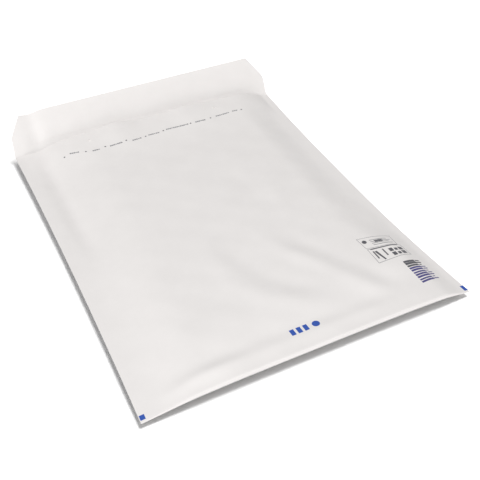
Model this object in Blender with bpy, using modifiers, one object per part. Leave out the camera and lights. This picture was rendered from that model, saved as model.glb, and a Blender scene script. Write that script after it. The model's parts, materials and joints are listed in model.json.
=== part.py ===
# Padded mailing envelope: a folded paper bag lined with air-bubble film.
# The closing side lies up, the mouth is at +Y and the flap springs up behind it.
# Metres, +Z up. The origin is on the underside, at the middle of the body.

import math

import bmesh
import bpy

for thing in list(bpy.data.objects):
    bpy.data.objects.remove(thing, do_unlink=True)

# Outer paper blank
BODY_WIDTH = 0.370
BODY_LENGTH = 0.480
PAPER_THICKNESS = 0.00025
FLAP_DEPTH = 0.058
FLAP_SQUARE_SIDE = 0.028
FLAP_CORNER_CUT = 0.018
FLAP_ANGLE = math.radians(52.0)
FLAP_CREASE_RADIUS = 0.0020
HOLE_DIAMETER = 0.0045
HOLE_SPACING = 0.182
HOLE_FROM_MOUTH = 0.0225

# Lining and side seams
SEAM_WIDTH = 0.010
SEAM_FILM_THICKNESS = 0.0004
FILM_HEIGHT = 0.0030
BASE_FILM_HEIGHT = 0.0010
FILM_SHARE_OF_ROOM = 0.32
LINING_FROM_MOUTH = 0.040
BUBBLE_DIAMETER = 0.0100
BUBBLE_PITCH = 0.0116
BUBBLE_ROWS = 3
POCKET_FROM_SEAM = 0.004
CLEARANCE = 0.0003

# Self-seal strip on the flap
GLUE_WIDTH = 0.022
GLUE_LENGTH = 0.318
GLUE_THICKNESS = 0.00015
GLUE_FROM_CREASE = 0.019
LINER_WIDTH = 0.027
LINER_LENGTH = 0.326
LINER_THICKNESS = 0.00015

# How the empty envelope stands: its seams hang over the table between two puffed panels
SEAM_LIFT = 0.0062
SEAM_TILT = 0.0009
SEAM_TWIST = 0.0006
FOLD_ARCH = 0.0018
FLAT_HALF_WIDTH = 0.095
FLAT_HALF_LENGTH = 0.135
FOLD_THICKNESS = 0.0056
MIDDLE_RISE = 0.0084
MOUTH_RISE = 0.0134
FOLD_SLOPE_LENGTH = 0.080
MOUTH_SLOPE_LENGTH = 0.045
PUFF_WIDTH = 0.050
LEFT_MOUTH_PUFF_WIDTH = 0.120
PUFF_POWER = 2.2

# How far the puffed panels draw the edges in
LEFT_BOW = 0.0022
RIGHT_BOW = 0.0079
RIGHT_BOW_POWER = 2.4
RIGHT_BOW_SKEW = 0.21
FRONT_BOW = 0.0022
FRONT_BOW_POWER = 3.2
MOUTH_PULL = 0.0030

HALF_WIDTH = BODY_WIDTH / 2
HALF_LENGTH = BODY_LENGTH / 2
LINING_INSET = PAPER_THICKNESS + CLEARANCE
SEAM_THICKNESS = 2 * LINING_INSET + SEAM_FILM_THICKNESS
SEAM_INNER = HALF_WIDTH - SEAM_WIDTH
LINING_END = HALF_LENGTH - LINING_FROM_MOUTH
BUBBLE_ROW_PITCH = BUBBLE_PITCH * math.sqrt(3) / 2
BUBBLES_START = LINING_END - BUBBLE_ROWS * BUBBLE_ROW_PITCH

# Creases and soft folds of the upper panel: a path in shares of the half width and half length,
# half of the width, and the height of a ridge or, below zero, of a valley
CREASE_WIDTH = 0.009
SOFT_WIDTH = 0.012
BUMP_WIDTH = 0.019
DIP_WIDTH = 0.024
WRINKLES = (
    (((0.71, 0.77), (0.79, 0.42), (0.79, 0.00), (0.84, -0.33), (0.90, -0.54)), SOFT_WIDTH, -0.0016),
    (((-0.87, 0.79), (-0.91, 0.46), (-0.90, 0.08), (-0.91, -0.42)), CREASE_WIDTH, -0.0012),
    (((0.20, -0.18), (0.25, -0.36), (0.35, -0.52), (0.48, -0.68), (0.60, -0.84)), CREASE_WIDTH, -0.0017),
    (((0.02, -0.36), (0.16, -0.50), (0.27, -0.60)), SOFT_WIDTH, 0.0013),
    (((0.38, -0.14), (0.42, -0.44), (0.52, -0.58), (0.62, -0.72)), SOFT_WIDTH, 0.0014),
    (((-0.11, 0.08), (-0.10, -0.25), (-0.05, -0.51), (0.09, -0.67)), SOFT_WIDTH, -0.0010),
    (((-0.85, -0.90), (-0.32, -0.90), (0.11, -0.89), (0.70, -0.90)), CREASE_WIDTH, -0.0013),
    (((-0.50, 0.84), (-0.28, 0.82), (-0.10, 0.84)), DIP_WIDTH, -0.0019),
    (((0.24, 0.84), (0.36, 0.83)), DIP_WIDTH, -0.0018),
    (((-0.72, 0.86), (-0.60, 0.84)), BUMP_WIDTH, 0.0016),
    (((0.50, 0.85), (0.62, 0.84)), BUMP_WIDTH, 0.0016),
    (((-0.27, 1.02), (-0.27, 0.94)), BUMP_WIDTH, 0.0042),
    (((0.28, 1.02), (0.34, 0.94)), BUMP_WIDTH, 0.0036),
)


def smooth(value, start, end):
    """Rise smoothly from 0 at start to 1 at end."""
    t = min(max((value - start) / (end - start), 0.0), 1.0)
    return t * t * (3 - 2 * t)


def beyond(value, start, end):
    """Rise as a parabola from 0 at start to 1 at end, and stay there."""
    return min(max((value - start) / (end - start), 0.0), 1.0) ** 2


def distance_to_path(s, q, path):
    """Distance from a point of the panel to a path of straight runs."""
    nearest = BODY_LENGTH
    for (au, av), (bu, bv) in zip(path, path[1:]):
        ax, ay = au * HALF_WIDTH, av * HALF_LENGTH
        run_x, run_y = bu * HALF_WIDTH - ax, bv * HALF_LENGTH - ay
        along = ((s - ax) * run_x + (q - ay) * run_y) / (run_x ** 2 + run_y ** 2)
        along = min(max(along, 0.0), 1.0)
        nearest = min(nearest, math.hypot(s - ax - along * run_x, q - ay - along * run_y))
    return nearest


def relief(s, q):
    """Height that the wrinkles add to the upper panel."""
    return sum(height * math.exp(-(distance_to_path(s, q, path) / half_width) ** 2)
               for path, half_width, height in WRINKLES)


def seam_height(s, q):
    """Height over the table of the surface in which the side seams lie."""
    u, v = s / HALF_WIDTH, q / HALF_LENGTH
    arch = FOLD_ARCH * (1 - abs(u) ** FRONT_BOW_POWER) * max(-v, 0.0) ** 2
    return SEAM_LIFT + (SEAM_TILT - SEAM_TWIST * u) * v + arch


def underside(s, q):
    """Height of the lower panel's outer face over the table."""
    side = beyond(abs(s), FLAT_HALF_WIDTH, SEAM_INNER)
    end = beyond(abs(q), FLAT_HALF_LENGTH, HALF_LENGTH)
    return seam_height(s, q) * (side + end * (1 - side))


def puff(s, q):
    """Share of the full thickness, from 0 in the side seam to 1 inside."""
    width = PUFF_WIDTH
    if s < 0:
        near_mouth = smooth(q, 0.0, HALF_LENGTH)
        width += (LEFT_MOUTH_PUFF_WIDTH - PUFF_WIDTH) * near_mouth
    inside = (SEAM_INNER - abs(s)) / width
    return 1 - (1 - min(max(inside, 0.0), 1.0)) ** PUFF_POWER


def topside(s, q):
    """Height of the upper panel's outer face over the table."""
    fold_rise = FOLD_THICKNESS - SEAM_THICKNESS
    rise = fold_rise + (MIDDLE_RISE - fold_rise) * smooth(q, -HALF_LENGTH, -HALF_LENGTH + FOLD_SLOPE_LENGTH)
    rise += (MOUTH_RISE - MIDDLE_RISE) * smooth(q, HALF_LENGTH - MOUTH_SLOPE_LENGTH, HALF_LENGTH)
    return seam_height(s, q) + SEAM_THICKNESS + (rise + relief(s, q)) * puff(s, q)


def plan(s, q):
    """Place in plan of a point of the blank, with the edges drawn in."""
    u, v = s / HALF_WIDTH, min(max(q / HALF_LENGTH, -1.0), 1.0)
    if s < 0:
        bow = LEFT_BOW * (1 - v * v)
    else:
        bow = RIGHT_BOW * (1 - abs(v) ** RIGHT_BOW_POWER) * (1 - RIGHT_BOW_SKEW * v)
    y = q + FRONT_BOW * (1 - abs(u) ** FRONT_BOW_POWER) * max(-v, 0.0) ** 2
    return s - bow * u, y


def lower_point(s, q, inset):
    x, y = plan(s, q)
    return x, y, underside(s, q) + inset


def upper_point(s, q, inset):
    x, y = plan(s, q)
    y -= MOUTH_PULL * puff(s, q) * beyond(q, HALF_LENGTH - MOUTH_SLOPE_LENGTH, HALF_LENGTH)
    return x, y, topside(s, q) - inset


FOLD_CENTRE = -HALF_LENGTH + FOLD_THICKNESS / 2


def fold_point(s, turn, inset):
    """Point of the bottom fold: turn runs from 0 below, over pi/2 in front, to pi above."""
    low = lower_point(s, FOLD_CENTRE, inset)
    high = upper_point(s, FOLD_CENTRE, inset)
    depth = FOLD_THICKNESS / 2 - inset
    middle, half = (high[2] + low[2]) / 2, (high[2] - low[2]) / 2
    return low[0], low[1] - depth * math.sin(turn), middle - half * math.cos(turn)


def flap_half_width(depth):
    """Half of the flap's width at a distance from its crease."""
    cut = max(depth - FLAP_SQUARE_SIDE, 0.0) / (FLAP_DEPTH - FLAP_SQUARE_SIDE)
    return HALF_WIDTH - FLAP_CORNER_CUT * cut


CREASE_ARC = FLAP_CREASE_RADIUS * FLAP_ANGLE


def flap_point(across, depth, lift):
    """Point at a distance past the mouth line, round the crease and up the flap."""
    s = across * flap_half_width(depth) / HALF_WIDTH
    x, y, z = lower_point(s, HALF_LENGTH, 0.0)
    turned = min(depth / CREASE_ARC, 1.0) * FLAP_ANGLE
    straight = max(depth - CREASE_ARC, 0.0)
    y += FLAP_CREASE_RADIUS * math.sin(turned) + straight * math.cos(turned)
    z += FLAP_CREASE_RADIUS * (1 - math.cos(turned)) + straight * math.sin(turned)
    return x, y - lift * math.sin(turned), z + lift * math.cos(turned)


def spread(start, end, count):
    """Evenly spaced values from start to end."""
    return [start + (end - start) * i / count for i in range(count + 1)]


def columns(inner_count):
    """Places across the body: the seams, the steep edge of the puff and the middle."""
    steep = SEAM_INNER - POCKET_FROM_SEAM
    shoulder = SEAM_INNER - PUFF_WIDTH * 0.3
    half = [HALF_WIDTH, SEAM_INNER, steep, shoulder]
    return [-s for s in half] + spread(-shoulder, shoulder, inner_count)[1:-1] + half[::-1]


def new_object(name, mesh, colour, roughness, alpha=1.0):
    material = bpy.data.materials.new(name)
    material.use_nodes = True
    shader = material.node_tree.nodes["Principled BSDF"]
    shader.inputs["Base Color"].default_value = (*colour, 1.0)
    shader.inputs["Roughness"].default_value = roughness
    shader.inputs["Metallic"].default_value = 0.0
    shader.inputs["Alpha"].default_value = alpha
    mesh.materials.append(material)
    thing = bpy.data.objects.new(name, mesh)
    parts.objects.link(thing)
    return thing


def folded_sheet(name, across, rows):
    """Fold a flat grid: each row is a function that places a column of the blank."""
    bm = bmesh.new()
    bmesh.ops.create_grid(bm, x_segments=len(across) - 1, y_segments=len(rows) - 1, size=1.0)
    for vert in bm.verts:
        column = round((vert.co.x + 1) / 2 * (len(across) - 1))
        row = round((vert.co.y + 1) / 2 * (len(rows) - 1))
        vert.co = rows[row](across[column])
    mesh = bpy.data.meshes.new(name)
    bm.to_mesh(mesh)
    bm.free()
    return mesh


def closed_bag(name, across, low_rows, high_rows):
    """Close a lower and an upper sheet round their edges into one solid."""
    bm = bmesh.new()
    sheets = []
    for rows in (low_rows, high_rows):
        sheets.append([[bm.verts.new(row(s)) for s in across] for row in rows])
    low, high = sheets
    last_row, last_column = len(low) - 1, len(across) - 1
    for i in range(last_row):
        for j in range(last_column):
            bm.faces.new((low[i][j], low[i + 1][j], low[i + 1][j + 1], low[i][j + 1]))
            bm.faces.new((high[i][j], high[i][j + 1], high[i + 1][j + 1], high[i + 1][j]))
        bm.faces.new((low[i][0], high[i][0], high[i + 1][0], low[i + 1][0]))
        bm.faces.new((low[i][-1], low[i + 1][-1], high[i + 1][-1], high[i][-1]))
    for j in range(last_column):
        bm.faces.new((low[0][j], low[0][j + 1], high[0][j + 1], high[0][j]))
        bm.faces.new((low[-1][j], high[-1][j], high[-1][j + 1], low[-1][j + 1]))
    bmesh.ops.recalc_face_normals(bm, faces=bm.faces)
    mesh = bpy.data.meshes.new(name)
    bm.to_mesh(mesh)
    bm.free()
    return mesh


def combine(thing, tool, operation):
    """Cut a shape out of a part, or fuse it to the part, and keep the shape as a guide."""
    tool.hide_render = True
    tool.display_type = "WIRE"
    boolean = thing.modifiers.new(operation.lower() + "_" + tool.name, "BOOLEAN")
    boolean.operation = operation
    boolean.solver = "EXACT"
    boolean.object = tool


def thicken(thing, amount):
    solidify = thing.modifiers.new("thickness", "SOLIDIFY")
    solidify.thickness = amount
    solidify.offset = 0.0
    solidify.use_even_offset = True


parts = bpy.data.collections.new("padded_envelope")
guides = bpy.data.collections.new("cutters")
bpy.context.scene.collection.children.link(parts)
bpy.context.scene.collection.children.link(guides)

# Outer paper: one blank, folded at the bottom and creased at the flap
COLUMNS = 18
BODY_ROWS = 29
LIP_ROWS = 4
FOLD_STEPS = 8
FLAP_ROWS = 3
CREASE_STEPS = 3

middle_of_paper = PAPER_THICKNESS / 2
body_q = spread(FOLD_CENTRE, LINING_END, BODY_ROWS)
lip_q = spread(LINING_END, HALF_LENGTH, LIP_ROWS)[1:]
fold_turns = spread(0.0, math.pi, FOLD_STEPS)
flap_depths = spread(FLAP_DEPTH, FLAP_SQUARE_SIDE, FLAP_ROWS)
flap_depths += spread(FLAP_SQUARE_SIDE, CREASE_ARC, FLAP_ROWS)[1:]
flap_depths += spread(CREASE_ARC, 0.0, CREASE_STEPS)[1:-1]
paper_rows = []
for depth in flap_depths:
    paper_rows.append(lambda s, d=depth: flap_point(s, d, middle_of_paper))
for q in (body_q + lip_q)[::-1]:
    paper_rows.append(lambda s, q=q: lower_point(s, q, middle_of_paper))
for turn in fold_turns[1:-1]:
    paper_rows.append(lambda s, turn=turn: fold_point(s, turn, middle_of_paper))
for q in body_q + lip_q:
    paper_rows.append(lambda s, q=q: upper_point(s, q, middle_of_paper))

paper_mesh = folded_sheet("outer_paper", columns(COLUMNS), paper_rows)
outer_paper = new_object("outer_paper", paper_mesh, (0.80, 0.79, 0.78), 0.62)
thicken(outer_paper, PAPER_THICKNESS)

# Two holes punched through both panels above the lining
PUNCH_LENGTH = 0.120
PUNCH_SIDES = 12
bm = bmesh.new()
for side in (-1, 1):
    made = bmesh.ops.create_cone(bm, cap_ends=True, segments=PUNCH_SIDES, radius1=HOLE_DIAMETER / 2,
                                 radius2=HOLE_DIAMETER / 2, depth=PUNCH_LENGTH)
    place = (side * HOLE_SPACING / 2, HALF_LENGTH - HOLE_FROM_MOUTH, 0.0)
    bmesh.ops.translate(bm, verts=made["verts"], vec=place)
punch_mesh = bpy.data.meshes.new("hole_punches")
bm.to_mesh(punch_mesh)
bm.free()
hole_punches = bpy.data.objects.new("hole_punches", punch_mesh)
guides.objects.link(hole_punches)
combine(outer_paper, hole_punches, "DIFFERENCE")


# Bubble lining: one folded film bag, fused flat into both side seams
def film_height(s, q):
    """Height of one ply of bubble film, crushed where the room runs out."""
    room = topside(s, q) - underside(s, q) - 2 * LINING_INSET
    return min(FILM_HEIGHT, FILM_SHARE_OF_ROOM * room)


def pocket_inset(s, q):
    """Depth of the pocket's wall: bubbles and all, or the base film alone where each bubble is modelled."""
    if q > BUBBLES_START:
        return LINING_INSET + min(BASE_FILM_HEIGHT, film_height(s, q))
    return LINING_INSET + film_height(s, q)


def bag_rows(inset, q_values, turns):
    """Lower and upper rows of a bag, from its folded front end to its mouth."""
    low = [lambda s, t=t: fold_point(s, t, inset(s, FOLD_CENTRE)) for t in turns]
    high = [lambda s, t=t: fold_point(s, math.pi - t, inset(s, FOLD_CENTRE)) for t in turns]
    low += [lambda s, q=q: lower_point(s, q, inset(s, q)) for q in q_values]
    high += [lambda s, q=q: upper_point(s, q, inset(s, q)) for q in q_values]
    return low, high


lining_turns = fold_turns[1:FOLD_STEPS // 2][::-1]
lining_low, lining_high = bag_rows(lambda s, q: LINING_INSET, body_q, lining_turns)
lining_mesh = closed_bag("bubble_lining", columns(COLUMNS), lining_low, lining_high)
bubble_lining = new_object("bubble_lining", lining_mesh, (0.86, 0.88, 0.90), 0.28, 0.6)

pocket_across = columns(COLUMNS)[2:-2]
pocket_q = [q for q in body_q if q < BUBBLES_START]
pocket_q += [BUBBLES_START, BUBBLES_START + CLEARANCE]
pocket_q += [q for q in body_q if q > BUBBLES_START + CLEARANCE] + lip_q[:1]
pocket_low, pocket_high = bag_rows(pocket_inset, pocket_q, [])
pocket_mesh = closed_bag("pocket_space", pocket_across, pocket_low, pocket_high)
pocket_space = bpy.data.objects.new("pocket_space", pocket_mesh)
guides.objects.link(pocket_space)
combine(bubble_lining, pocket_space, "DIFFERENCE")

# The rows of bubbles next to the mouth: each one a short dome that stands on the base film
BUBBLE_SIDES = 8
BUBBLE_TOP_SHARE = 0.68
BUBBLE_SINK = BASE_FILM_HEIGHT / 2
bubble_height = FILM_HEIGHT - BASE_FILM_HEIGHT + BUBBLE_SINK
bm = bmesh.new()
bubbles_across = int(2 * (SEAM_INNER - PUFF_WIDTH) / BUBBLE_PITCH)
for row in range(BUBBLE_ROWS):
    centre_q = LINING_END - (row + 0.5) * BUBBLE_ROW_PITCH
    for column in range(bubbles_across + row % 2):
        centre_s = (column - (bubbles_across - 1 + row % 2) / 2) * BUBBLE_PITCH
        for face_point in (lower_point, upper_point):
            made = bmesh.ops.create_cone(bm, cap_ends=True, segments=BUBBLE_SIDES, depth=bubble_height,
                                         radius1=BUBBLE_DIAMETER / 2,
                                         radius2=BUBBLE_DIAMETER / 2 * BUBBLE_TOP_SHARE)
            foot = LINING_INSET + BASE_FILM_HEIGHT - BUBBLE_SINK + bubble_height / 2
            for vert in made["verts"]:
                s, q = centre_s + vert.co.x, centre_q + vert.co.y
                vert.co = face_point(s, q, foot + vert.co.z)
bmesh.ops.recalc_face_normals(bm, faces=bm.faces)
bubble_mesh = bpy.data.meshes.new("mouth_bubbles")
bm.to_mesh(bubble_mesh)
bm.free()
mouth_bubbles = bpy.data.objects.new("mouth_bubbles", bubble_mesh)
guides.objects.link(mouth_bubbles)
combine(bubble_lining, mouth_bubbles, "UNION")


# Self-seal strip: glue on the flap's inner face, under a peel-off paper liner
def flap_strip(name, length, width, centre, lift, amount, colour, roughness):
    """A flat strip along the flap, its middle a lift above the paper's outer face."""
    across = spread(-length / 2, length / 2, 1)
    depths = (centre - width / 2, centre + width / 2)
    rows = [lambda s, d=d: flap_point(s * HALF_WIDTH / flap_half_width(d), d, lift) for d in depths]
    strip = new_object(name, folded_sheet(name, across, rows), colour, roughness)
    thicken(strip, amount)
    return strip


glue_centre = GLUE_FROM_CREASE + GLUE_WIDTH / 2
glue_lift = PAPER_THICKNESS + CLEARANCE + GLUE_THICKNESS / 2
liner_lift = glue_lift + GLUE_THICKNESS / 2 + CLEARANCE + LINER_THICKNESS / 2
flap_strip("adhesive_strip", GLUE_LENGTH, GLUE_WIDTH, glue_centre, glue_lift, GLUE_THICKNESS,
           (0.83, 0.80, 0.70), 0.35)
flap_strip("release_liner", LINER_LENGTH, LINER_WIDTH, glue_centre, liner_lift, LINER_THICKNESS,
           (0.86, 0.86, 0.85), 0.40)
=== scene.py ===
import json
import math

import bmesh
import bpy
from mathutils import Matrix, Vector

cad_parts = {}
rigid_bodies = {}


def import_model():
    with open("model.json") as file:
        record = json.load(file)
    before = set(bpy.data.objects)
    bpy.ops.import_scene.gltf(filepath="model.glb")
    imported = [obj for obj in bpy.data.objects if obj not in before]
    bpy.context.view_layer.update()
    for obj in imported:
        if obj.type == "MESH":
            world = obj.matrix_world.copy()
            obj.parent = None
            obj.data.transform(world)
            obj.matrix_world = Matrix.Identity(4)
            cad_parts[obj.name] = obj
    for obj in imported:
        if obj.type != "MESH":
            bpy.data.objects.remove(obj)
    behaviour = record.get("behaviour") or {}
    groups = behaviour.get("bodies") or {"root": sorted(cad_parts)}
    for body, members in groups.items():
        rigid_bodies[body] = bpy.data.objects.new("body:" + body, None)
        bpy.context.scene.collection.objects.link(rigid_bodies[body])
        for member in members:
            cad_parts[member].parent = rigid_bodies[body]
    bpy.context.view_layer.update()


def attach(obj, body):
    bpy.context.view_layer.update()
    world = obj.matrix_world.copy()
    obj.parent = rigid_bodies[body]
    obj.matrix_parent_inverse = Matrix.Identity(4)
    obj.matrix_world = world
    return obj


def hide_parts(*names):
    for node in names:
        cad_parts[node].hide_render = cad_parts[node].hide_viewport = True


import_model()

# Outer paper. One blank of white kraft paper, folded at the bottom and creased at the mouth into a flap.
# Its two panels are heat-sealed to each other along 10 mm side seams, and the air-bubble lining inside
# puffs them up between the seams. All sizes are in metres, as the envelope lies on the table.
BODY_WIDTH, BODY_LENGTH = 0.370, 0.480
HALF_WIDTH, HALF_LENGTH = BODY_WIDTH / 2, BODY_LENGTH / 2
PAPER_THICKNESS = 0.00025
CLEARANCE = 0.0003
SEAM_WIDTH = 0.010
SEAM_INNER = HALF_WIDTH - SEAM_WIDTH
SEAM_THICKNESS = 2 * (PAPER_THICKNESS + CLEARANCE) + 0.0004
FLAP_DEPTH, FLAP_SQUARE_SIDE, FLAP_CORNER_CUT = 0.058, 0.028, 0.018
FLAP_ANGLE = math.radians(52.0)
FLAP_CREASE_RADIUS = 0.0020
FLAP_SHIFT, FLAP_SKEW = 0.0022, 0.045
CREASE_ARC = FLAP_CREASE_RADIUS * FLAP_ANGLE
HOLE_DIAMETER, HOLE_SPACING, HOLE_FROM_MOUTH = 0.0045, 0.182, 0.0225

# The seams hang over the table between the two puffed panels
SEAM_LIFT = 0.0062
SEAM_TILT = 0.0009
SEAM_TWIST = 0.0006
FOLD_ARCH = 0.0018
FLAT_HALF_WIDTH = 0.095
FLAT_HALF_LENGTH = 0.135
FOLD_THICKNESS = 0.0056
MIDDLE_RISE = 0.0084
MOUTH_RISE = 0.0134
FOLD_SLOPE_LENGTH = 0.080
MOUTH_SLOPE_LENGTH = 0.090
PUFF_WIDTH = 0.050
LEFT_MOUTH_PUFF_WIDTH = 0.120
PUFF_POWER = 2.2
SOFT_SLOPE_SHARE = 0.9
LEFT_BOW = 0.0026
RIGHT_BOW = 0.0079
RIGHT_BOW_POWER = 2.4
RIGHT_BOW_SKEW = 0.21
FRONT_BOW = 0.0022
FRONT_BOW_POWER = 3.2
MOUTH_PULL = 0.0030
FOLD_CENTRE = -HALF_LENGTH + FOLD_THICKNESS / 2

# Soft folds of the upper panel: a path in shares of the half width and half length, the half width
# of the fold, and the height of a crest or the depth of a valley. Each one fades at both ends, over
# these shares of its path.
FOLD_FADE_IN, FOLD_FADE_OUT = (0.0, 0.40), (1.0, 0.75)
FOLDS = (
    (((-0.20, 0.10), (-0.21, -0.25), (-0.20, -0.48), (-0.08, -0.66), (0.10, -0.76), (0.30, -0.83)),
     0.0150, 0.0012),
    (((-0.11, 0.05), (-0.10, -0.36), (0.00, -0.54), (0.14, -0.66), (0.32, -0.75)), 0.0130, -0.0009),
    (((0.06, -0.12), (0.15, -0.30), (0.22, -0.43), (0.33, -0.57), (0.43, -0.70), (0.53, -0.84),
      (0.58, -0.93)), 0.0110, 0.0014),
    (((0.22, -0.14), (0.30, -0.31), (0.35, -0.42), (0.44, -0.54), (0.54, -0.66), (0.63, -0.80),
      (0.67, -0.90)), 0.0110, -0.0010),
    (((0.16, 0.45), (0.26, 0.28), (0.34, 0.05), (0.36, -0.15)), 0.0150, -0.0008),
    (((0.36, 0.25), (0.40, 0.00), (0.42, -0.22)), 0.0150, 0.0007),
    (((-1.04, -0.940), (-0.84, -0.935), (-0.68, -0.925), (-0.30, -0.92)), 0.0080, 0.0024),
    (((-0.95, -0.92), (-0.40, -0.92), (0.20, -0.92), (0.75, -0.925)), 0.0080, 0.0010),
    (((-0.95, -0.85), (-0.40, -0.86), (0.20, -0.86), (0.70, -0.87)), 0.0090, -0.0006),
    (((-0.96, 0.74), (-0.92, 0.86), (-0.80, 0.93)), 0.0120, 0.0016),
)
# Waves of the mouth's upper lip: place across, half width and height
LIP_WAVES = ((-0.049, 0.020, 0.0042), (0.054, 0.026, 0.0034))
LIP_WAVES_START = 0.165
# Crease inside the left seam towards the mouth
SEAM_VALLEY_S, SEAM_VALLEY_WIDTH, SEAM_VALLEY_DEPTH = -0.1550, 0.0115, 0.0030
SEAM_VALLEY_START, SEAM_VALLEY_FULL = -0.03, 0.06
# Droop of the right edge in front, from none to full across and along, and of both front corners
RIGHT_DROOP, RIGHT_DROOP_ACROSS, RIGHT_DROOP_ALONG = 0.0020, (0.160, 0.200), (0.06, -0.08)
CORNER_DROOP, CORNER_RADIUS = 0.0008, 0.030
# The soft slopes beside the seams: place along the length, where the panel starts to rise, and how
# wide the rise is. Towards the mouth they fade into the plain puff.
SOFT_SLOPE_FADE = (0.232, 0.160)
LEFT_SLOPES = ((-0.240, 0.172, 0.060), (-0.050, 0.170, 0.070), (0.040, 0.158, 0.070),
               (0.240, 0.158, 0.070))
RIGHT_SLOPES = ((-0.240, 0.178, 0.026), (-0.150, 0.180, 0.032), (-0.085, 0.180, 0.062),
                (-0.030, 0.170, 0.046), (0.240, 0.170, 0.046))
# Slow waves of the whole panel: length and direction of each wave, and its height
PANEL_WAVES = ((0.083, 0.4, 0.9), (0.061, 1.9, 2.3), (0.047, 2.7, 4.1), (0.036, 0.9, 5.2))
PANEL_WAVE_HEIGHT = 0.00011


def smooth(value, start, end):
    t = min(max((value - start) / (end - start), 0.0), 1.0)
    return t * t * (3 - 2 * t)


def beyond(value, start, end):
    return min(max((value - start) / (end - start), 0.0), 1.0) ** 2


def fold_height(s, q, path, half_width, height):
    """Height that one soft fold adds: a bell across its path that fades at both ends."""
    nearest, share = 1.0, 0.0
    runs = len(path) - 1
    for i in range(runs):
        ax, ay = path[i][0] * HALF_WIDTH, path[i][1] * HALF_LENGTH
        run_x, run_y = path[i + 1][0] * HALF_WIDTH - ax, path[i + 1][1] * HALF_LENGTH - ay
        along = ((s - ax) * run_x + (q - ay) * run_y) / (run_x ** 2 + run_y ** 2)
        along = min(max(along, 0.0), 1.0)
        distance = math.hypot(s - ax - along * run_x, q - ay - along * run_y)
        if distance < nearest:
            nearest, share = distance, (i + along) / runs
    fade = smooth(share, *FOLD_FADE_IN) * smooth(share, *FOLD_FADE_OUT)
    return height * fade * math.exp(-(nearest / half_width) ** 2)


def relief(s, q):
    lip = sum(height * math.exp(-((s - place) / half_width) ** 2) for place, half_width, height in LIP_WAVES)
    folds = sum(fold_height(s, q, *fold) for fold in FOLDS)
    slow = sum(math.sin(2 * math.pi * (s * math.cos(turn) + q * math.sin(turn)) / length + start)
               for length, turn, start in PANEL_WAVES)
    return folds + slow * PANEL_WAVE_HEIGHT + lip * smooth(q, LIP_WAVES_START, HALF_LENGTH)


def seam_height(s, q):
    u, v = s / HALF_WIDTH, q / HALF_LENGTH
    arch = FOLD_ARCH * (1 - abs(u) ** FRONT_BOW_POWER) * max(-v, 0.0) ** 2
    valley = SEAM_VALLEY_DEPTH * math.exp(-((s - SEAM_VALLEY_S) / SEAM_VALLEY_WIDTH) ** 2)
    valley *= smooth(q, SEAM_VALLEY_START, SEAM_VALLEY_FULL)
    droop = RIGHT_DROOP * smooth(s, *RIGHT_DROOP_ACROSS) * smooth(q, *RIGHT_DROOP_ALONG)
    corner = math.hypot(abs(s) - HALF_WIDTH, q + HALF_LENGTH) / CORNER_RADIUS
    droop += CORNER_DROOP * math.exp(-corner ** 2)
    return SEAM_LIFT + (SEAM_TILT - SEAM_TWIST * u) * v + arch - valley - droop


def underside(s, q):
    side = beyond(abs(s), FLAT_HALF_WIDTH, SEAM_INNER)
    end = beyond(abs(q), FLAT_HALF_LENGTH, HALF_LENGTH)
    return seam_height(s, q) * (side + end * (1 - side))


def slope_place(q, table):
    """Start and width of the side slope at a place along the length."""
    q = min(max(q, table[0][0]), table[-1][0])
    for low, high in zip(table, table[1:]):
        if low[0] <= q <= high[0]:
            share = smooth(q, low[0], high[0])
            return low[1] + (high[1] - low[1]) * share, low[2] + (high[2] - low[2]) * share


def puff(s, q):
    """Share of the full thickness, from 0 in the side seam to 1 inside."""
    width = PUFF_WIDTH
    if s < 0:
        width += (LEFT_MOUTH_PUFF_WIDTH - PUFF_WIDTH) * smooth(q, 0.0, HALF_LENGTH)
    start, soft_width = slope_place(q, LEFT_SLOPES if s < 0 else RIGHT_SLOPES)
    inside = min(max((SEAM_INNER - abs(s)) / width, 0.0), 1.0)
    full = 1 - (1 - inside) ** PUFF_POWER
    soft = smooth(abs(s), start, start - soft_width)
    return full + (soft - full) * SOFT_SLOPE_SHARE * smooth(q, *SOFT_SLOPE_FADE)


def topside(s, q):
    fold_rise = FOLD_THICKNESS - SEAM_THICKNESS
    rise = fold_rise + (MIDDLE_RISE - fold_rise) * smooth(q, -HALF_LENGTH, -HALF_LENGTH + FOLD_SLOPE_LENGTH)
    rise += (MOUTH_RISE - MIDDLE_RISE) * smooth(q, HALF_LENGTH - MOUTH_SLOPE_LENGTH, HALF_LENGTH)
    return seam_height(s, q) + SEAM_THICKNESS + (rise + relief(s, q)) * puff(s, q)


def plan(s, q):
    u, v = s / HALF_WIDTH, min(max(q / HALF_LENGTH, -1.0), 1.0)
    if s < 0:
        bow = LEFT_BOW * (1 - v * v)
    else:
        bow = RIGHT_BOW * (1 - abs(v) ** RIGHT_BOW_POWER) * (1 - RIGHT_BOW_SKEW * v)
    y = q + FRONT_BOW * (1 - abs(u) ** FRONT_BOW_POWER) * max(-v, 0.0) ** 2
    return s - bow * u, y


def lower_point(s, q, inset):
    x, y = plan(s, q)
    return x, y, underside(s, q) + inset


def upper_point(s, q, inset):
    x, y = plan(s, q)
    y -= MOUTH_PULL * puff(s, q) * beyond(q, HALF_LENGTH - MOUTH_SLOPE_LENGTH, HALF_LENGTH)
    return x, y, topside(s, q) - inset


def fold_point(s, turn, inset):
    low = lower_point(s, FOLD_CENTRE, inset)
    high = upper_point(s, FOLD_CENTRE, inset)
    depth = FOLD_THICKNESS / 2 - inset
    middle, half = (high[2] + low[2]) / 2, (high[2] - low[2]) / 2
    return low[0], low[1] - depth * math.sin(turn), middle - half * math.cos(turn)


def flap_half_width(depth):
    cut = max(depth - FLAP_SQUARE_SIDE, 0.0) / (FLAP_DEPTH - FLAP_SQUARE_SIDE)
    return HALF_WIDTH - FLAP_CORNER_CUT * cut


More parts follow.
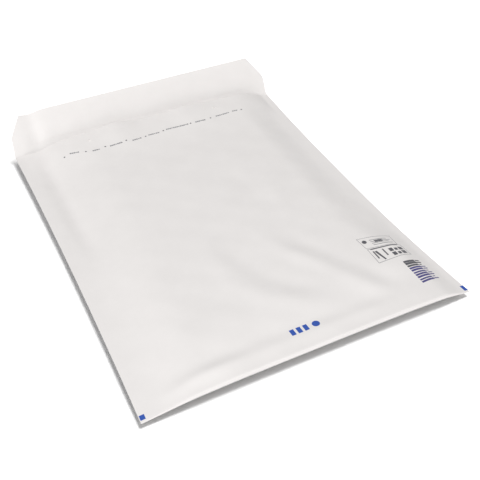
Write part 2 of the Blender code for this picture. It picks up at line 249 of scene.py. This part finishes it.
def flap_point(across, depth, lift):
    s = across * flap_half_width(depth) / HALF_WIDTH
    x, y, z = lower_point(s, HALF_LENGTH, 0.0)
    x += FLAP_SHIFT * smooth(depth, 0.0, FLAP_SQUARE_SIDE)
    depth *= 1 + FLAP_SKEW * s / HALF_WIDTH
    turned = min(depth / CREASE_ARC, 1.0) * FLAP_ANGLE
    straight = max(depth - CREASE_ARC, 0.0)
    y += FLAP_CREASE_RADIUS * math.sin(turned) + straight * math.cos(turned)
    z += FLAP_CREASE_RADIUS * (1 - math.cos(turned)) + straight * math.sin(turned)
    return x, y - lift * math.sin(turned), z + lift * math.cos(turned)


def spread(start, end, count):
    return [start + (end - start) * i / count for i in range(count + 1)]


def folded_sheet(name, across, rows, material):
    bm = bmesh.new()
    bmesh.ops.create_grid(bm, x_segments=len(across) - 1, y_segments=len(rows) - 1, size=1.0)
    for vert in bm.verts:
        column = round((vert.co.x + 1) / 2 * (len(across) - 1))
        row = round((vert.co.y + 1) / 2 * (len(rows) - 1))
        vert.co = rows[row](across[column])
    for face in bm.faces:
        face.smooth = True
    mesh = bpy.data.meshes.new(name)
    bm.to_mesh(mesh)
    bm.free()
    mesh.materials.append(material)
    sheet = bpy.data.objects.new(name, mesh)
    bpy.context.scene.collection.objects.link(sheet)
    return sheet


def thicken(sheet, amount, offset=0.0):
    solidify = sheet.modifiers.new("thickness", "SOLIDIFY")
    solidify.thickness = amount
    solidify.offset = offset


def paper_fibre_group():
    """Cloudy tone and fine fibres of uncoated paper."""
    group = bpy.data.node_groups.new("paper_fibre", "ShaderNodeTree")
    face = group.interface
    cloud_size = face.new_socket("Cloud Size", in_out="INPUT", socket_type="NodeSocketFloat")
    fibre_size = face.new_socket("Fibre Size", in_out="INPUT", socket_type="NodeSocketFloat")
    cloud_size.default_value, fibre_size.default_value = 45.0, 900.0
    face.new_socket("Cloud", in_out="OUTPUT", socket_type="NodeSocketFloat")
    face.new_socket("Fibre", in_out="OUTPUT", socket_type="NodeSocketFloat")
    nodes, links = group.nodes, group.links
    given = nodes.new("NodeGroupInput")
    result = nodes.new("NodeGroupOutput")
    place = nodes.new("ShaderNodeTexCoord")
    for name, detail in (("Cloud", 3.0), ("Fibre", 6.0)):
        noise = nodes.new("ShaderNodeTexNoise")
        noise.inputs["Detail"].default_value = detail
        noise.inputs["Roughness"].default_value = 0.6
        links.new(place.outputs["Object"], noise.inputs["Vector"])
        links.new(given.outputs[name + " Size"], noise.inputs["Scale"])
        links.new(noise.outputs["Fac"], result.inputs[name])
    return group


paper_fibre = paper_fibre_group()


def paper_material(name, low, high, roughness, fibre_depth, cloud_size=45.0):
    material = bpy.data.materials.new(name)
    material.use_nodes = True
    nodes, links = material.node_tree.nodes, material.node_tree.links
    shader = nodes["Principled BSDF"]
    shader.inputs["Roughness"].default_value = roughness
    shader.inputs["Specular IOR Level"].default_value = 0.35
    fibre = nodes.new("ShaderNodeGroup")
    fibre.node_tree = paper_fibre
    fibre.inputs["Cloud Size"].default_value = cloud_size
    tone = nodes.new("ShaderNodeMix")
    tone.data_type = "RGBA"
    tone.inputs["A"].default_value = (*low, 1.0)
    tone.inputs["B"].default_value = (*high, 1.0)
    links.new(fibre.outputs["Cloud"], tone.inputs["Factor"])
    links.new(tone.outputs["Result"], shader.inputs["Base Color"])
    bump = nodes.new("ShaderNodeBump")
    bump.inputs["Strength"].default_value = 0.35
    bump.inputs["Distance"].default_value = fibre_depth
    links.new(fibre.outputs["Fibre"], bump.inputs["Height"])
    links.new(bump.outputs["Normal"], shader.inputs["Normal"])
    return material


PAPER_DARK, PAPER_LIGHT = (0.790, 0.764, 0.750), (0.840, 0.814, 0.800)
white_paper = paper_material("white_kraft_paper", PAPER_DARK, PAPER_LIGHT, 0.55, 0.00006)

PAPER_STEP = 0.003
FLAP_ROWS, CREASE_ROWS, UNDERSIDE_ROWS, FOLD_ROWS = 18, 4, 60, 14
SEAM_COLUMNS = 3
middle_of_paper = PAPER_THICKNESS / 2
seam_columns = spread(-HALF_WIDTH, -SEAM_INNER, SEAM_COLUMNS)[:-1]
across = seam_columns + spread(-SEAM_INNER, SEAM_INNER, round(2 * SEAM_INNER / PAPER_STEP))
across += [-s for s in seam_columns[::-1]]
flap_depths = spread(FLAP_DEPTH, CREASE_ARC, FLAP_ROWS) + spread(CREASE_ARC, 0.0, CREASE_ROWS)[1:-1]
paper_rows = [lambda s, d=depth: flap_point(s, d, middle_of_paper) for depth in flap_depths]
paper_rows += [lambda s, q=q: lower_point(s, q, middle_of_paper)
               for q in spread(HALF_LENGTH, FOLD_CENTRE, UNDERSIDE_ROWS)]
paper_rows += [lambda s, t=t: fold_point(s, t, middle_of_paper)
               for t in spread(0.0, math.pi, FOLD_ROWS)[1:-1]]
upper_count = round((HALF_LENGTH - FOLD_CENTRE) / PAPER_STEP)
paper_rows += [lambda s, q=q: upper_point(s, q, middle_of_paper)
               for q in spread(FOLD_CENTRE, HALF_LENGTH, upper_count)]
paper = folded_sheet("folded_paper", across, paper_rows, white_paper)
thicken(paper, PAPER_THICKNESS)

PUNCH_SIDES, PUNCH_LENGTH = 24, 0.1
SHARP_EDGE_ANGLE = math.radians(60.0)
punch = bmesh.new()
for side in (-1, 1):
    made = bmesh.ops.create_cone(punch, cap_ends=True, segments=PUNCH_SIDES, radius1=HOLE_DIAMETER / 2,
                                 radius2=HOLE_DIAMETER / 2, depth=PUNCH_LENGTH)
    bmesh.ops.translate(punch, verts=made["verts"],
                        vec=(side * HOLE_SPACING / 2, HALF_LENGTH - HOLE_FROM_MOUTH, 0.0))
punch_mesh = bpy.data.meshes.new("hole_punch")
punch.to_mesh(punch_mesh)
punch.free()
hole_punch = bpy.data.objects.new("hole_punch", punch_mesh)
bpy.context.scene.collection.objects.link(hole_punch)
punched = paper.modifiers.new("punched_holes", "BOOLEAN")
punched.operation, punched.solver, punched.object = "DIFFERENCE", "EXACT", hole_punch
evaluated = paper.evaluated_get(bpy.context.evaluated_depsgraph_get())
finished = bpy.data.meshes.new_from_object(evaluated)
finished.set_sharp_from_angle(angle=SHARP_EDGE_ANGLE)
paper.modifiers.clear()
paper.data = finished
bpy.data.objects.remove(hole_punch)
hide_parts("outer_paper")
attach(paper, "root")

# Bubble lining. A bag of clear air-bubble film, folded once at the bottom, with its bubbles towards the
# goods and its flat side glued to the paper. It ends short of the mouth and is fused into both seams.
LINING_INSET = PAPER_THICKNESS + CLEARANCE
LINING_END = HALF_LENGTH - 0.040
FILM_THICKNESS = 0.00018
BUBBLE_DIAMETER, BUBBLE_HEIGHT, BUBBLE_PITCH = 0.0100, 0.0029, 0.0116
BUBBLE_ROW_PITCH = BUBBLE_PITCH * math.sqrt(3) / 2
BUBBLE_SHARE_OF_ROOM = 0.32
BUBBLE_FROM_SEAM = 0.001
BUBBLE_SIDES = 9
BUBBLE_RINGS = ((1.0, 0.0), (0.97, 0.60), (0.82, 0.93))

bubble_film = bpy.data.materials.new("clear_bubble_film")
bubble_film.use_nodes = True
nodes, links = bubble_film.node_tree.nodes, bubble_film.node_tree.links
shader = nodes["Principled BSDF"]
shader.inputs["Roughness"].default_value = 0.14
shader.inputs["IOR"].default_value = 1.5
shader.inputs["Transmission Weight"].default_value = 0.55
haze = nodes.new("ShaderNodeTexNoise")
haze.inputs["Scale"].default_value = 60.0
haze.inputs["Detail"].default_value = 2.0
film_tone = nodes.new("ShaderNodeMix")
film_tone.data_type = "RGBA"
film_tone.inputs["A"].default_value = (0.86, 0.88, 0.90, 1.0)
film_tone.inputs["B"].default_value = (0.94, 0.95, 0.96, 1.0)
links.new(haze.outputs["Fac"], film_tone.inputs["Factor"])
links.new(film_tone.outputs["Result"], shader.inputs["Base Color"])

FILM_ROWS, FILM_FOLD_ROWS, FILM_COLUMNS = 64, 12, 58
film_inset = LINING_INSET + FILM_THICKNESS / 2
film_q = spread(FOLD_CENTRE, LINING_END, FILM_ROWS)
film_rows = [lambda s, q=q: lower_point(s, q, film_inset) for q in film_q[::-1]]
film_rows += [lambda s, t=t: fold_point(s, t, film_inset)
              for t in spread(0.0, math.pi, FILM_FOLD_ROWS)[1:-1]]
film_rows += [lambda s, q=q: upper_point(s, q, film_inset) for q in film_q]
film_across = seam_columns + spread(-SEAM_INNER, SEAM_INNER, FILM_COLUMNS)
film_across += [-s for s in seam_columns[::-1]]
base_film = folded_sheet("bubble_base_film", film_across, film_rows, bubble_film)
thicken(base_film, FILM_THICKNESS)

domes = bmesh.new()
rows_of_bubbles = int((LINING_END - FOLD_CENTRE) / BUBBLE_ROW_PITCH)
bubbles_across = int(2 * (SEAM_INNER - BUBBLE_FROM_SEAM) / BUBBLE_PITCH)
for row in range(rows_of_bubbles):
    centre_q = LINING_END - (row + 0.5) * BUBBLE_ROW_PITCH
    for column in range(bubbles_across - row % 2):
        centre_s = (column - (bubbles_across - 1 - row % 2) / 2) * BUBBLE_PITCH
        room = topside(centre_s, centre_q) - underside(centre_s, centre_q) - 2 * LINING_INSET
        height = min(BUBBLE_HEIGHT, BUBBLE_SHARE_OF_ROOM * room)
        for face_point in (lower_point, upper_point):
            rings = []
            for ring_share, height_share in BUBBLE_RINGS:
                ring = []
                for i in range(BUBBLE_SIDES):
                    turn = 2 * math.pi * i / BUBBLE_SIDES
                    s = centre_s + ring_share * BUBBLE_DIAMETER / 2 * math.cos(turn)
                    q = centre_q + ring_share * BUBBLE_DIAMETER / 2 * math.sin(turn)
                    ring.append(domes.verts.new(face_point(s, q, film_inset + height * height_share)))
                rings.append(ring)
            top = domes.verts.new(face_point(centre_s, centre_q, film_inset + height))
            for low_ring, high_ring in zip(rings, rings[1:]):
                for i in range(BUBBLE_SIDES):
                    j = (i + 1) % BUBBLE_SIDES
                    domes.faces.new((low_ring[i], low_ring[j], high_ring[j], high_ring[i]))
            for i in range(BUBBLE_SIDES):
                domes.faces.new((rings[-1][i], rings[-1][(i + 1) % BUBBLE_SIDES], top))
bmesh.ops.recalc_face_normals(domes, faces=domes.faces)
for face in domes.faces:
    face.smooth = True
domes_mesh = bpy.data.meshes.new("bubbles")
domes.to_mesh(domes_mesh)
domes.free()
domes_mesh.materials.append(bubble_film)
bubbles = bpy.data.objects.new("bubbles", domes_mesh)
bpy.context.scene.collection.objects.link(bubbles)
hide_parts("bubble_lining")
for piece in (base_film, bubbles):
    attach(piece, "root")

# Self-seal strip. A thin coat of hot-melt glue, rolled on the inner face of the flap, which faces up
# here. It stops short of both ends of the flap and of its crease.
GLUE_WIDTH, GLUE_LENGTH, GLUE_FROM_CREASE, GLUE_THICKNESS = 0.022, 0.318, 0.019, 0.00015
STRIP_CENTRE = GLUE_FROM_CREASE + GLUE_WIDTH / 2
STRIP_ROWS, STRIP_COLUMNS = 6, 110


def flap_strip(name, length, width, lift, amount, material):
    """A strip along the flap that hugs the paper, as flap_point shapes it."""
    depths = spread(STRIP_CENTRE + width / 2, STRIP_CENTRE - width / 2, STRIP_ROWS)
    rows = [lambda s, d=d: flap_point(s * HALF_WIDTH / flap_half_width(d), d, lift) for d in depths]
    strip = folded_sheet(name, spread(-length / 2, length / 2, STRIP_COLUMNS), rows, material)
    thicken(strip, amount)
    for face in strip.data.polygons:
        face.use_smooth = False
    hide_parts(name)
    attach(strip, "root")
    return strip


glue = paper_material("hot_melt_glue", (0.74, 0.71, 0.60), (0.80, 0.77, 0.66), 0.25, 0.00002, 120.0)
glue_lift = PAPER_THICKNESS + GLUE_THICKNESS / 2
adhesive_strip = flap_strip("adhesive_strip", GLUE_LENGTH, GLUE_WIDTH, glue_lift, GLUE_THICKNESS, glue)

# Release liner. A strip of silicone-coated white paper over the glue, wider and longer than the glue so
# that a finger can lift it. It is as white as the flap and only its thin edge shows.
LINER_WIDTH, LINER_LENGTH, LINER_THICKNESS = 0.027, 0.326, 0.00008
liner_paper = paper_material("liner_paper", PAPER_DARK, PAPER_LIGHT, 0.42, 0.00002)
liner_lift = glue_lift + GLUE_THICKNESS / 2 + LINER_THICKNESS / 2
release_liner = flap_strip("release_liner", LINER_LENGTH, LINER_WIDTH, liner_lift, LINER_THICKNESS,
                           liner_paper)

# Print on the closing side: a dotted opening line, a blue mark, two frames, a block of bars and a blue
# block on each bottom corner. It is ink printed on the paper, made here as plain shapes in films a few
# hundredths of a millimetre thick that follow the paper.
INK_LIFT, INK_THICKNESS = 0.00006, 0.00003
INK_STEP = 0.002
INK_CLOUD = 1.18


def ink_material(name, colour):
    return paper_material(name, colour, tuple(c * INK_CLOUD for c in colour), 0.5, 0.00004, 900.0)


def ink_area(bm, area, low=(0.0, 0.0), high=(1.0, 1.0)):
    """Ink between two places given in shares of a four-cornered area of the panel."""
    front_left, front_right, back_right, back_left = area
    wide = math.hypot(front_right[0] - front_left[0], front_right[1] - front_left[1]) * (high[0] - low[0])
    tall = math.hypot(back_left[0] - front_left[0], back_left[1] - front_left[1]) * (high[1] - low[1])
    made = bmesh.ops.create_grid(bm, x_segments=max(1, math.ceil(wide / INK_STEP)),
                                 y_segments=max(1, math.ceil(tall / INK_STEP)), size=1.0)
    for vert in made["verts"]:
        a = low[0] + (vert.co.x + 1) / 2 * (high[0] - low[0])
        b = low[1] + (vert.co.y + 1) / 2 * (high[1] - low[1])
        s, q = ((front_left[k] * (1 - a) + front_right[k] * a) * (1 - b)
                + (back_left[k] * (1 - a) + back_right[k] * a) * b for k in (0, 1))
        vert.co = upper_point(s, q, -INK_LIFT)


def ink_patch(bm, low, high):
    ink_area(bm, (low, (high[0], low[1]), high, (low[0], high[1])))


def ink_disc(bm, centre, radius, sides=16):
    made = bmesh.ops.create_circle(bm, cap_ends=True, cap_tris=True, segments=sides, radius=radius)
    for vert in made["verts"]:
        vert.co = upper_point(centre[0] + vert.co.x, centre[1] + vert.co.y, -INK_LIFT)


def ink_frame(bm, area, line_a, line_b):
    ink_area(bm, area, (0.0, 0.0), (1.0, line_b))
    ink_area(bm, area, (0.0, 1 - line_b), (1.0, 1.0))
    ink_area(bm, area, (0.0, line_b), (line_a, 1 - line_b))
    ink_area(bm, area, (1 - line_a, line_b), (1.0, 1 - line_b))


def print_piece(name, bm, material):
    mesh = bpy.data.meshes.new(name)
    bm.to_mesh(mesh)
    bm.free()
    mesh.materials.append(material)
    piece = bpy.data.objects.new(name, mesh)
    bpy.context.scene.collection.objects.link(piece)
    thicken(piece, INK_THICKNESS)
    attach(piece, "root")


dark_ink = ink_material("dark_ink", (0.080, 0.080, 0.090))
grey_ink = ink_material("grey_ink", (0.240, 0.240, 0.250))
blue_ink = ink_material("blue_ink", (0.020, 0.075, 0.36))
bar_ink = ink_material("bar_ink", (0.070, 0.062, 0.19))

# The opening line: the middle of each dot, and both ends of each run of short strokes between them
LINE_DOTS = ((-0.1298, 0.2024), (-0.1022, 0.1975), (-0.0763, 0.1958), (-0.0473, 0.1953), (-0.0202, 0.1955),
             (0.0059, 0.1970), (0.0462, 0.1966), (0.0768, 0.1978), (0.1255, 0.1998))
STROKE_RUNS = (((-0.1218, 0.2051), (-0.1100, 0.2013)), ((-0.0941, 0.1940), (-0.0841, 0.1938)),
               ((-0.0704, 0.1939), (-0.0530, 0.1937)), ((-0.0396, 0.1925), (-0.0260, 0.1946)),
               ((-0.0159, 0.1965), (0.0000, 0.1958)), ((0.0103, 0.1980), (0.0430, 0.1966)),
               ((0.0532, 0.1961), (0.0687, 0.1962)), ((0.0855, 0.1992), (0.1069, 0.2003)),
               ((0.1117, 0.2008), (0.1196, 0.2004)))
DOT_RADIUS = 0.0011
STROKE_WIDTH, STROKE_PITCH, STROKE_HEIGHT, SHORT_STROKE_SHARE = 0.0021, 0.0026, 0.0023, 0.65
dot_line = bmesh.new()
for dot in LINE_DOTS:
    ink_disc(dot_line, dot, DOT_RADIUS)
print_piece("opening_line_dots", dot_line, dark_ink)
stroke_line = bmesh.new()
for start, end in STROKE_RUNS:
    strokes = round((end[0] - start[0]) / STROKE_PITCH)
    for i in range(strokes):
        s = start[0] + (end[0] - start[0]) * i / strokes
        q = start[1] + (end[1] - start[1]) * i / strokes
        tall = STROKE_HEIGHT * (SHORT_STROKE_SHARE if i * 3 % 4 == 1 else 1.0)
        ink_patch(stroke_line, (s, q - tall / 2), (s + STROKE_WIDTH, q + tall / 2))
print_piece("opening_line_words", stroke_line, grey_ink)

# The blue mark above the folded bottom: three bars and a disc
MARK_Q, MARK_HEIGHT = -0.2135, 0.0085
MARK_BARS, MARK_START, MARK_PITCH, MARK_BAR_WIDTH = 3, -0.0175, 0.0075, 0.0048
MARK_DISC_S, MARK_DISC_SIDES = 0.0115, 28
blue_mark = bmesh.new()
for i in range(MARK_BARS):
    bar_s = MARK_START + i * MARK_PITCH
    ink_patch(blue_mark, (bar_s, MARK_Q - MARK_HEIGHT / 2),
              (bar_s + MARK_BAR_WIDTH, MARK_Q + MARK_HEIGHT / 2))
ink_disc(blue_mark, (MARK_DISC_S, MARK_Q), MARK_HEIGHT / 2, MARK_DISC_SIDES)
print_piece("blue_mark_print", blue_mark, blue_ink)

# Two frames on the slope beside the right seam, each given by its four corners. What they hold is
# placed in shares of the frame.
UPPER_FRAME = ((0.1216, -0.1399), (0.1600, -0.1467), (0.1623, -0.1271), (0.1203, -0.1206))
LOWER_FRAME = ((0.1201, -0.1672), (0.1649, -0.1665), (0.1628, -0.1475), (0.1217, -0.1412))
frames = bmesh.new()
ink_frame(frames, UPPER_FRAME, 0.012, 0.026)
ink_frame(frames, LOWER_FRAME, 0.012, 0.024)
for i in range(4):
    ink_area(frames, UPPER_FRAME, (0.30, 0.20 + 0.16 * i), (0.90 - 0.08 * (i % 2), 0.25 + 0.16 * i))
print_piece("frame_line_print", frames, grey_ink)

signs = bmesh.new()
ink_disc(signs, (0.1262, -0.1288), 0.0029)
ink_area(signs, UPPER_FRAME, (0.42, 0.44), (0.66, 0.64))
ink_area(signs, LOWER_FRAME, (0.08, 0.92), (0.88, 0.975))
ink_area(signs, LOWER_FRAME, (0.09, 0.26), (0.13, 0.80))
ink_area(signs, ((0.1302, -0.1648), (0.1322, -0.1648), (0.1302, -0.1478), (0.1272, -0.1478)))
ink_area(signs, LOWER_FRAME, (0.37, 0.30), (0.41, 0.82))
for i in range(2):
    for j, (start, end) in enumerate(((0.53, 0.64), (0.68, 0.77), (0.81, 0.93))):
        ink_area(signs, LOWER_FRAME, (start, 0.14 + 0.34 * i), (end, 0.40 + 0.34 * i - 0.06 * (j % 2)))
print_piece("sign_print", signs, dark_ink)

# Ten bars along the width, of which the back ones run together
BARS, BAR_MAIN_END, BAR_DARK_FROM = 10, 0.70, 7
BAR_THICKNESSES, BAR_DARK_EXTRA = (0.070, 0.058, 0.076), 0.016
BAR_AREA = ((0.1447, -0.2130), (0.1683, -0.2111), (0.1655, -0.1765), (0.1451, -0.1757))
bars, dark_bars = bmesh.new(), bmesh.new()
for i in range(BARS):
    is_dark = i >= BAR_DARK_FROM
    front, thick = i / BARS, BAR_THICKNESSES[i % 3] + BAR_DARK_EXTRA * is_dark
    ink = dark_bars if is_dark else bars
    ink_area(ink, BAR_AREA, (0.0, front), (BAR_MAIN_END, front + thick))
    ink_area(ink, BAR_AREA, (BAR_MAIN_END + 0.04 * (i % 2), front + 0.012),
             (1.0 - 0.10 * (i % 3 == 1), front + thick * 0.75))
print_piece("bar_block_print", bars, bar_ink)
print_piece("bar_block_back_print", dark_bars, dark_ink)

# A blue block on each bottom corner, which goes down into the fold
corner_marks = bmesh.new()
ink_patch(corner_marks, (-0.1843, FOLD_CENTRE), (-0.1793, -0.2314))
ink_patch(corner_marks, (0.1806, FOLD_CENTRE), (0.1850, -0.2290))
print_piece("corner_marks_print", corner_marks, blue_ink)

# Camera, floor and lights. The envelope lies on a plain white table under soft studio light, and the
# camera looks down on its closing side from the front left.
FOCAL_PX, IMAGE_PX = 781.5, 480
PRINCIPAL_X_PX = 284.8
AZIMUTH, ELEVATION = math.radians(-27.90), math.radians(39.46)
DISTANCE = 0.9046
TARGET = (0.0515, -0.0692, 0.0035)
SENSOR = 36.0

camera_data = bpy.data.cameras.new("photo_camera")
camera_data.sensor_width = SENSOR
camera_data.lens = FOCAL_PX / IMAGE_PX * SENSOR
camera_data.shift_x = (IMAGE_PX / 2 - PRINCIPAL_X_PX) / IMAGE_PX
camera = bpy.data.objects.new("photo_camera", camera_data)
bpy.context.scene.collection.objects.link(camera)
camera.location = (TARGET[0] + DISTANCE * math.sin(AZIMUTH) * math.cos(ELEVATION),
                   TARGET[1] - DISTANCE * math.cos(AZIMUTH) * math.cos(ELEVATION),
                   TARGET[2] + DISTANCE * math.sin(ELEVATION))
camera.rotation_euler = (math.pi / 2 - ELEVATION, 0.0, AZIMUTH)
bpy.context.scene.camera = camera


def seen_as_background(nodes, links):
    """1 for rays from the camera, from gloss and through film, which meet a white background."""
    rays = nodes.new("ShaderNodeLightPath")
    seen = nodes.new("ShaderNodeMath")
    seen.operation = "MAXIMUM"
    seen_through = nodes.new("ShaderNodeMath")
    seen_through.operation = "MAXIMUM"
    links.new(rays.outputs["Is Camera Ray"], seen.inputs[0])
    links.new(rays.outputs["Is Glossy Ray"], seen.inputs[1])
    links.new(seen.outputs[0], seen_through.inputs[0])
    links.new(rays.outputs["Is Transmission Ray"], seen_through.inputs[1])
    return seen_through.outputs[0]


floor_material = bpy.data.materials.new("white_table")
floor_material.use_nodes = True
nodes, links = floor_material.node_tree.nodes, floor_material.node_tree.links
shader = nodes["Principled BSDF"]
shader.inputs["Roughness"].default_value = 0.9
shader.inputs["Specular IOR Level"].default_value = 0.0
floor_tone = nodes.new("ShaderNodeMix")
floor_tone.data_type = "RGBA"
floor_tone.inputs["A"].default_value = (0.8, 0.8, 0.8, 1.0)
floor_tone.inputs["B"].default_value = (1.15, 1.15, 1.15, 1.0)
links.new(seen_as_background(nodes, links), floor_tone.inputs["Factor"])
links.new(floor_tone.outputs["Result"], shader.inputs["Base Color"])

TABLE_HALF_SIZE = 6.0
floor_mesh = bpy.data.meshes.new("table_top")
bm = bmesh.new()
bmesh.ops.create_grid(bm, x_segments=1, y_segments=1, size=TABLE_HALF_SIZE)
bm.to_mesh(floor_mesh)
bm.free()
floor_mesh.materials.append(floor_material)
floor = bpy.data.objects.new("table_top", floor_mesh)
bpy.context.scene.collection.objects.link(floor)

world = bpy.data.worlds.new("studio")
bpy.context.scene.world = world
world.use_nodes = True
nodes, links = world.node_tree.nodes, world.node_tree.links
background = nodes["Background"]
background.inputs["Color"].default_value = (1.0, 1.0, 1.0, 1.0)
strength = nodes.new("ShaderNodeMix")
strength.data_type = "FLOAT"
strength.inputs["A"].default_value = 0.37
strength.inputs["B"].default_value = 1.0
links.new(seen_as_background(nodes, links), strength.inputs["Factor"])
links.new(strength.outputs["Result"], background.inputs["Strength"])

object_only = bpy.data.collections.new("lit_by_softboxes")
floor_only = bpy.data.collections.new("lit_by_window")
bpy.context.scene.collection.children.link(object_only)
bpy.context.scene.collection.children.link(floor_only)
for thing in bpy.context.scene.objects:
    if thing.type == "MESH":
        (floor_only if thing == floor else object_only).objects.link(thing)

# Two softboxes light the envelope: name, place, side and power
SOFTBOXES = (("key_softbox", (-1.75, -2.20, 2.60), 1.6, 98.5),
             ("fill_softbox", (0.10, 0.45, 2.40), 1.0, 8.5))
for name, place, size, power in SOFTBOXES:
    lamp_data = bpy.data.lights.new(name, "AREA")
    lamp_data.shape = "SQUARE"
    lamp_data.size = size
    lamp_data.energy = power
    lamp = bpy.data.objects.new(name, lamp_data)
    lamp.location = place
    lamp.rotation_euler = (-lamp.location).to_track_quat("-Z", "Y").to_euler()
    bpy.context.scene.collection.objects.link(lamp)
    lamp.light_linking.receiver_collection = object_only

# High soft window light that keeps the table white out to the horizon and throws the short shadow
WINDOW_DIRECTION = Vector((-1.05, -0.68, -1.70))
window_data = bpy.data.lights.new("window_light", "SUN")
window_data.energy = 3.8
window_data.angle = math.radians(34.0)
window = bpy.data.objects.new("window_light", window_data)
window.rotation_euler = WINDOW_DIRECTION.to_track_quat("-Z", "Y").to_euler()
bpy.context.scene.collection.objects.link(window)
window.light_linking.receiver_collection = floor_only

# Daylight that soaks through the thin paper into the mouth and shows in the two punched holes: name,
# place, width and depth, and power
GLOWS = (("mouth_glow", (0.0, 0.2260, 0.0130), (0.26, 0.020), 0.012),
         ("left_hole_glow", (-0.0825, 0.2325, 0.0130), (0.012, 0.012), 0.0011),
         ("right_hole_glow", (0.0995, 0.2325, 0.0130), (0.012, 0.012), 0.0011))
for name, place, (wide, deep), power in GLOWS:
    glow_data = bpy.data.lights.new(name, "AREA")
    glow_data.shape = "RECTANGLE"
    glow_data.size, glow_data.size_y = wide, deep
    glow_data.energy = power
    glow = bpy.data.objects.new(name, glow_data)
    glow.location = place
    glow.visible_camera = False
    bpy.context.scene.collection.objects.link(glow)

bpy.context.scene.view_settings.view_transform = "Standard"
